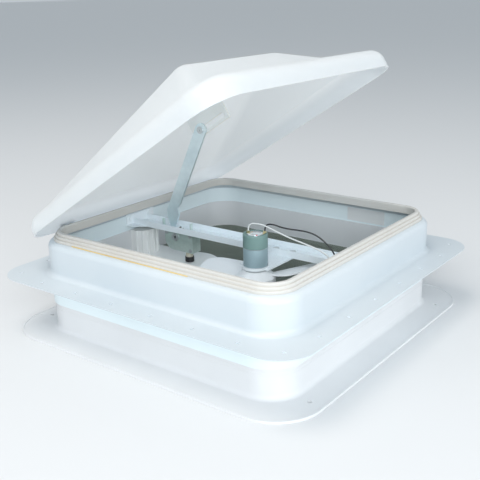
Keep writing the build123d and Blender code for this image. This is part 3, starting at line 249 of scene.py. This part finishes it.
# Trim ring and screen frame
# Moulded white plastic that slides up inside the neck, with a fine satin grain.
# Its flange and the flat frame of the screen are of the same moulding.
trim_light = (0.80, 0.81, 0.82)
trim_dark = (0.75, 0.76, 0.77)
trim_plastic = surface("trim_plastic", trim_light, trim_dark, 0.48, 1100, 0.00005)
dress(trim_plastic, "trim_ring", "screen_frame")

# Insect screen
# Grey coated glass-fibre net, stretched flat over the screen frame and cut away round the crank well
# and the switch's tab. Strands run both ways, one layer on the other.
net_pitch = 0.0020
net_strand = 0.00075
net_low, net_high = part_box("insect_screen")
net_half = net_high.x
net_corner = 0.034
_, well_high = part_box("crank_well")
switch_low, switch_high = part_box("switch_body")
knob_low, knob_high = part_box("crank_knob")
well_centre_x = (knob_low.x + knob_high.x) / 2
well_disc = well_high.x - well_centre_x
well_bridge = 0.030
tab_half_y = 0.020
tab_reach = 0.007


def net_is_here(x, y):
    """Whether the net covers this place."""
    corner = net_half - net_corner
    beyond = math.hypot(max(0, abs(x) - corner), max(0, abs(y) - corner))
    over_disc = math.hypot(x - well_centre_x, y) < well_disc
    over_bridge = x < well_centre_x and abs(y) < well_bridge
    tab_y = (switch_low.y + switch_high.y) / 2
    over_tab = x > switch_low.x - tab_reach and abs(y - tab_y) < tab_half_y
    return beyond < net_corner and not (over_disc or over_bridge or over_tab)


net_points = []
net_faces = []
net_count = round(2 * net_half / net_pitch)
for across in (False, True):
    for line in range(net_count):
        fixed = -net_half + (line + 0.5) * net_pitch
        start = None
        for step in range(net_count + 1):
            along = -net_half + step * net_pitch
            x, y = (along, fixed) if across else (fixed, along)
            if net_is_here(x, y) and step < net_count:
                start = along if start is None else start
                continue
            if start is not None and along - start > net_pitch:
                low_side = fixed - net_strand / 2
                high_side = fixed + net_strand / 2
                foot = net_low.z if across else net_low.z + (net_high.z - net_low.z) / 2
                top = foot + (net_high.z - net_low.z) / 2
                first = len(net_points)
                corners = ((start, low_side), (along, low_side), (along, high_side), (start, high_side))
                for level in (foot, top):
                    for place, side in corners:
                        net_points.append((place, side, level) if across else (side, place, level))
                a, b, c, d, e, f, g, h = range(first, first + 8)
                ring = [(e, f, g, h), (d, c, b, a), (a, b, f, e), (b, c, g, f), (c, d, h, g), (d, a, e, h)]
                net_faces += ring if across else [face[::-1] for face in ring]
            start = None
net_mesh = bpy.data.meshes.new("screen_net")
net_mesh.from_pydata(net_points, [], net_faces)
net = bpy.data.objects.new("screen_net", net_mesh)
bpy.context.scene.collection.objects.link(net)
net_mesh.materials.append(surface("net_coating", (0.26, 0.29, 0.24), (0.20, 0.23, 0.19), 0.6, 2500, 0.00005))
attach(net, "frame")
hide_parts("insect_screen")

# Crank well
# The white moulded tongue under the operator, with its ribbed half-round column on the hinge-side wall.
# Its white is set brighter than the trim ring's as painted light for the dim inside of the neck, and it is
# glossier.
dress(surface("well_plastic", (0.93, 0.94, 0.93), (0.89, 0.90, 0.89), 0.36, 1200, 0.00004), "crank_well")

# Crossbar, motor bracket and their fixings
# Steel channel and bracket with their rivets under one white enamel. The screws are zinc-plated.
plated_grain = 600
plated_metallic = 0.85
plated_drift = 22
plated_stretch = (0.25, 1, 1)
spangle_share = 0.22
spangle_shade = 0.7
bar_enamel = surface("bar_enamel", (0.93, 0.98, 1.0), (0.87, 0.94, 0.98), 0.28, 500, 0.00004)
dress(bar_enamel, "crossbar", "motor_bracket", "crossbar_rivets")


def plated(name, light, dark, roughness, spangle_scale, scratch_height):
    """Zinc plating: a surface with spangle in its colour and fine scratches along X."""
    material = surface(name, light, dark, roughness, plated_grain, scratch_height, metallic=plated_metallic,
                       drift_scale=plated_drift, stretch=plated_stretch)
    tree = material.node_tree
    tone = tree.nodes["tone"]
    shader = tree.nodes["Principled BSDF"]
    place = tree.nodes.new("ShaderNodeTexCoord")
    crystals = tree.nodes.new("ShaderNodeTexVoronoi")
    crystals.inputs["Scale"].default_value = spangle_scale
    amount = tree.nodes.new("ShaderNodeMapRange")
    amount.inputs["To Min"].default_value = 0.0
    amount.inputs["To Max"].default_value = spangle_share
    mix = tree.nodes.new("ShaderNodeMix")
    mix.data_type = "RGBA"
    mix.inputs["B"].default_value = (*[channel * spangle_shade for channel in dark], 1)
    tree.links.new(place.outputs["Object"], crystals.inputs["Vector"])
    tree.links.new(crystals.outputs["Distance"], amount.inputs["Value"])
    tree.links.new(amount.outputs["Result"], mix.inputs["Factor"])
    tree.links.new(tone.outputs["Color"], mix.inputs["A"])
    tree.links.new(mix.outputs["Result"], shader.inputs["Base Color"])
    return material


rivet_zinc = plated("rivet_zinc", (0.74, 0.77, 0.78), (0.60, 0.64, 0.65), 0.34, 350, 0.00003)
dress(rivet_zinc, "bracket_screws", "motor_screws")

# Operator
# Gearbox of two zinc-plated stampings, riveted together and hung in the crossbar's floor by bent lugs.
# The plating is dull and a little green. The sector, the worm and the motor's shaft are a darker, oily steel.
case_zinc = plated("case_zinc", (0.90, 0.98, 0.94), (0.62, 0.74, 0.70), 0.55, 220, 0.00010)
dress(case_zinc, "operator_case", "operator_cover")
dress(rivet_zinc, "operator_rivets", "arm_pivot", "link_rivets", "arm_tip_pin")
dress(surface("bushing_nylon", (0.72, 0.68, 0.56), (0.62, 0.58, 0.47), 0.5, 900, 0.00005), "shaft_bushing")
dress(surface("greased_steel", (0.30, 0.29, 0.26), (0.16, 0.15, 0.13), 0.3, 500, 0.00008, metallic=0.9),
      "sector_gear", "worm_shaft", "motor_shaft")

# Lift arm
# A dogleg strap, blanked from zinc-plated steel, with a bluish shine and fine scratches.
dress(plated("arm_zinc", (0.88, 0.98, 1.0), (0.74, 0.86, 0.90), 0.40, 120, 0.00006), "lift_arm")

# Coupler and crank knob
# A black nylon collar on the worm shaft, and the white fluted knob that is turned from the room.
coupler_nylon = surface("coupler_nylon", (0.030, 0.030, 0.032), (0.015, 0.015, 0.016), 0.4, 900, 0.00006)
dress(coupler_nylon, "shaft_coupler")
dress(surface("knob_plastic", (0.82, 0.82, 0.80), (0.75, 0.75, 0.72), 0.42, 1200, 0.00005), "crank_knob")

# Lid and its track
# One moulded white shell, semi-gloss and cool in tint, with slight waves from the mould.
# The plastic lets some light through. The pale nylon track under it is bonded to its ceiling.
lid_glow_depth = 0.014
lid_plastic = surface("lid_plastic", (0.84, 0.91, 0.97), (0.81, 0.89, 0.96), 0.34, 300, 0.00010,
                      drift_scale=4.0)
lid_shader = lid_plastic.node_tree.nodes["Principled BSDF"]
lid_shader.inputs["Subsurface Weight"].default_value = 1.0
lid_shader.inputs["Subsurface Radius"].default_value = (1.0, 1.0, 1.0)
lid_shader.inputs["Subsurface Scale"].default_value = lid_glow_depth
dress(lid_plastic, "lid")
dress(surface("track_nylon", (0.95, 0.95, 0.92), (0.92, 0.92, 0.87), 0.5, 900, 0.00005), "lid_track")

# Hinges
# Two zinc-plated sheet hinges between the collar and the lid's skirt, with headed pins and rivets.
hinge_zinc = plated("hinge_zinc", (0.68, 0.71, 0.72), (0.54, 0.58, 0.59), 0.38, 200, 0.00005)
dress(hinge_zinc, "hinge_base_leaves", "hinge_lid_leaves")
dress(rivet_zinc, "hinge_pins", "base_leaf_rivets", "lid_leaf_rivets")

# Motor
# A drawn steel can wrapped in a blank blue-grey band, and a grey-green moulded cap with a bright end plate.
# Two tabs stand in the cap, which carries a red and an ochre paint dot.
can_low, can_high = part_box("motor_can")
cap_low, cap_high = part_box("motor_cap")
motor_axis = Vector(((can_low.x + can_high.x) / 2, (can_low.y + can_high.y) / 2, 0))
can_radius = (can_high.x - can_low.x) / 2
cap_radius = (cap_high.x - cap_low.x) / 2
band_thickness = 0.00012
band_gap = 0.0008
band_height = 0.0205
band_top = cap_low.z - band_gap
band_foot = band_top - band_height
can_steel = surface("can_steel", (0.62, 0.67, 0.69), (0.52, 0.57, 0.60), 0.3, 500, 0.00003, metallic=0.9)
dress(can_steel, "motor_can")
cap_plastic = surface("cap_plastic", (0.21, 0.33, 0.31), (0.17, 0.27, 0.26), 0.5, 1200, 0.00005)
dress(cap_plastic, "motor_cap")
dress(surface("terminal_brass", (0.78, 0.66, 0.38), (0.62, 0.50, 0.26), 0.3, 600, 0.00003, metallic=0.9),
      "motor_terminals")


def lathe(name, profile, centre, sides=64):
    """A mesh turned about an upright axis from (radius, height) pairs; closed where the radius is 0."""
    points = []
    rings = []
    for radius, height in profile:
        if radius == 0:
            rings.append([len(points)])
            points.append((centre.x, centre.y, height))
            continue
        rings.append(list(range(len(points), len(points) + sides)))
        for step in range(sides):
            angle = 2 * math.pi * step / sides
            points.append((centre.x + radius * math.cos(angle), centre.y + radius * math.sin(angle), height))
    faces = []
    for lower, upper in zip(rings, rings[1:]):
        for step in range(sides):
            after = (step + 1) % sides
            if len(lower) == 1:
                faces.append((lower[0], upper[after], upper[step]))
            elif len(upper) == 1:
                faces.append((lower[step], lower[after], upper[0]))
            else:
                faces.append((lower[step], lower[after], upper[after], upper[step]))
    mesh = bpy.data.meshes.new(name)
    mesh.from_pydata(points, [], faces)
    mesh.polygons.foreach_set("use_smooth", [True] * len(faces))
    turned = bpy.data.objects.new(name, mesh)
    bpy.context.scene.collection.objects.link(turned)
    return turned


band_outer = can_radius + band_thickness
band_edge = band_outer - band_thickness / 3
band = lathe("motor_band", [(can_radius - band_thickness, band_foot), (band_edge, band_foot),
                            (band_outer, band_foot + band_thickness), (band_outer, band_top - band_thickness),
                            (band_edge, band_top), (can_radius - band_thickness, band_top)], motor_axis)
band.data.materials.append(surface("band_foil", (0.35, 0.47, 0.51), (0.29, 0.41, 0.45), 0.42, 1500,
                                   0.00003, metallic=0.15))
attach(band, "frame")

end_plate_rise = 0.0004
end_plate_depth = 0.0013
end_plate_chamfer = 0.0003
end_plate_rim_share = 0.94
end_plate_step_share = 0.55
end_plate_boss_share = 0.5
end_plate_radius = cap_radius * 0.66
end_plate_top = cap_high.z + end_plate_rise
end_plate_foot = cap_high.z - end_plate_depth
end_plate_profile = [(end_plate_radius, end_plate_foot), (end_plate_radius, cap_high.z - end_plate_chamfer),
                     (end_plate_radius * end_plate_rim_share, cap_high.z),
                     (end_plate_radius * end_plate_step_share, cap_high.z),
                     (end_plate_radius * end_plate_boss_share, end_plate_top), (0, end_plate_top)]
end_plate = lathe("motor_end_plate", end_plate_profile, motor_axis)
end_plate.data.materials.append(surface("bright_steel", (0.86, 0.90, 0.92), (0.76, 0.80, 0.83), 0.16, 500,
                                        0.00002, metallic=1.0))
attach(end_plate, "frame")

mark_radius = 0.0013
mark_height = 0.0005
mark_shoulder_share = 0.8
mark_shade_share = 0.8
mark_sides = 20
cap_recess = 0.0012
marks = (
    ("red_dot", (0.0064, -0.0062), (0.62, 0.03, 0.05)),
    ("ochre_dot", (-0.0048, 0.0004), (0.62, 0.36, 0.04)),
)
for mark_name, (mark_x, mark_y), mark_colour in marks:
    mark_foot = cap_high.z if math.hypot(mark_x, mark_y) < end_plate_radius else cap_high.z - cap_recess
    mark_shoulder = (mark_radius * mark_shoulder_share, mark_foot + mark_height * mark_shoulder_share)
    mark = lathe(mark_name, [(mark_radius, mark_foot), mark_shoulder, (0, mark_foot + mark_height)],
                 motor_axis + Vector((mark_x, mark_y, 0)), mark_sides)
    mark_shade = [channel * mark_shade_share for channel in mark_colour]
    mark.data.materials.append(surface(mark_name + "_paint", mark_colour, mark_shade, 0.4, 2000, 0.00004))
    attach(mark, "frame")

# Fan
# Moulded white fan with a conical hub and three wide blades, pressed on the motor's shaft.
dress(surface("fan_plastic", (0.96, 0.98, 0.99), (0.92, 0.95, 0.97), 0.38, 1000, 0.00004), "fan")

# Fan switch
# A black moulded rocker switch on the screen frame's tab, reached from the room.
switch_plastic = surface("switch_plastic", (0.045, 0.045, 0.047), (0.030, 0.030, 0.032), 0.42, 1200, 0.00006)
dress(switch_plastic, "switch_body", "switch_rocker")
dress(rivet_zinc, "rocker_pin")

# Leads
# Two stranded leads with soft PVC insulation, from the motor's tabs to the switch on the free side.
# They rise off the motor and hang in loose arcs before they go down beside the crossbar.
lead_diameter = 0.0017
white_route = ((0.0537, -0.0599, 0.0616), (0.0537, -0.0599, 0.0666), (0.0572, -0.0592, 0.0703),
               (0.0635, -0.0579, 0.0710), (0.0710, -0.0562, 0.0702), (0.0795, -0.0543, 0.0672),
               (0.0900, -0.0520, 0.0630), (0.1040, -0.0488, 0.0580), (0.1189, -0.0454, 0.0538),
               (0.1310, -0.0426, 0.0502), (0.1410, -0.0404, 0.0460), (0.1480, -0.0389, 0.0405),
               (0.1513, -0.0382, 0.0270), (0.1520, -0.0380, 0.0102), (0.1520, -0.0380, -0.0048))
black_route = ((0.0706, -0.0513, 0.0616), (0.0706, -0.0513, 0.0666), (0.0741, -0.0502, 0.0701),
               (0.0806, -0.0482, 0.0700), (0.0885, -0.0458, 0.0676), (0.0975, -0.0430, 0.0662),
               (0.1080, -0.0397, 0.0658), (0.1180, -0.0366, 0.0648), (0.1265, -0.0339, 0.0620),
               (0.1337, -0.0317, 0.0573), (0.1405, -0.0296, 0.0508), (0.1470, -0.0276, 0.0425),
               (0.1512, -0.0263, 0.0295), (0.1520, -0.0260, 0.0102), (0.1520, -0.0260, -0.0048))
leads = (
    ("white_insulation", white_route, 0.154, "white_lead", "lead_white",
     (0.71, 0.73, 0.72), (0.65, 0.67, 0.66)),
    ("black_insulation", black_route, 0.142, "black_lead", "lead_black",
     (0.030, 0.031, 0.033), (0.018, 0.018, 0.020)),
)
for lead_name, route, length, cad_name, slot_name, lead_light, lead_dark in leads:
    line = bpy.data.curves.new(lead_name, "CURVE")
    line.dimensions = "3D"
    line.bevel_depth = lead_diameter / 2
    line.bevel_resolution = 4
    line.use_fill_caps = True
    spline = line.splines.new("NURBS")
    spline.points.add(len(route) - 1)
    for point, place in zip(spline.points, route):
        point.co = (*place, 1)
    spline.order_u = 3
    spline.use_endpoint_u = True
    spline.resolution_u = 10
    lead = bpy.data.objects.new(lead_name, line)
    bpy.context.scene.collection.objects.link(lead)
    line.materials.append(surface(lead_name + "_pvc", lead_light, lead_dark, 0.35, 1500, 0.00005))
    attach(lead, "frame")
    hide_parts(cad_name)
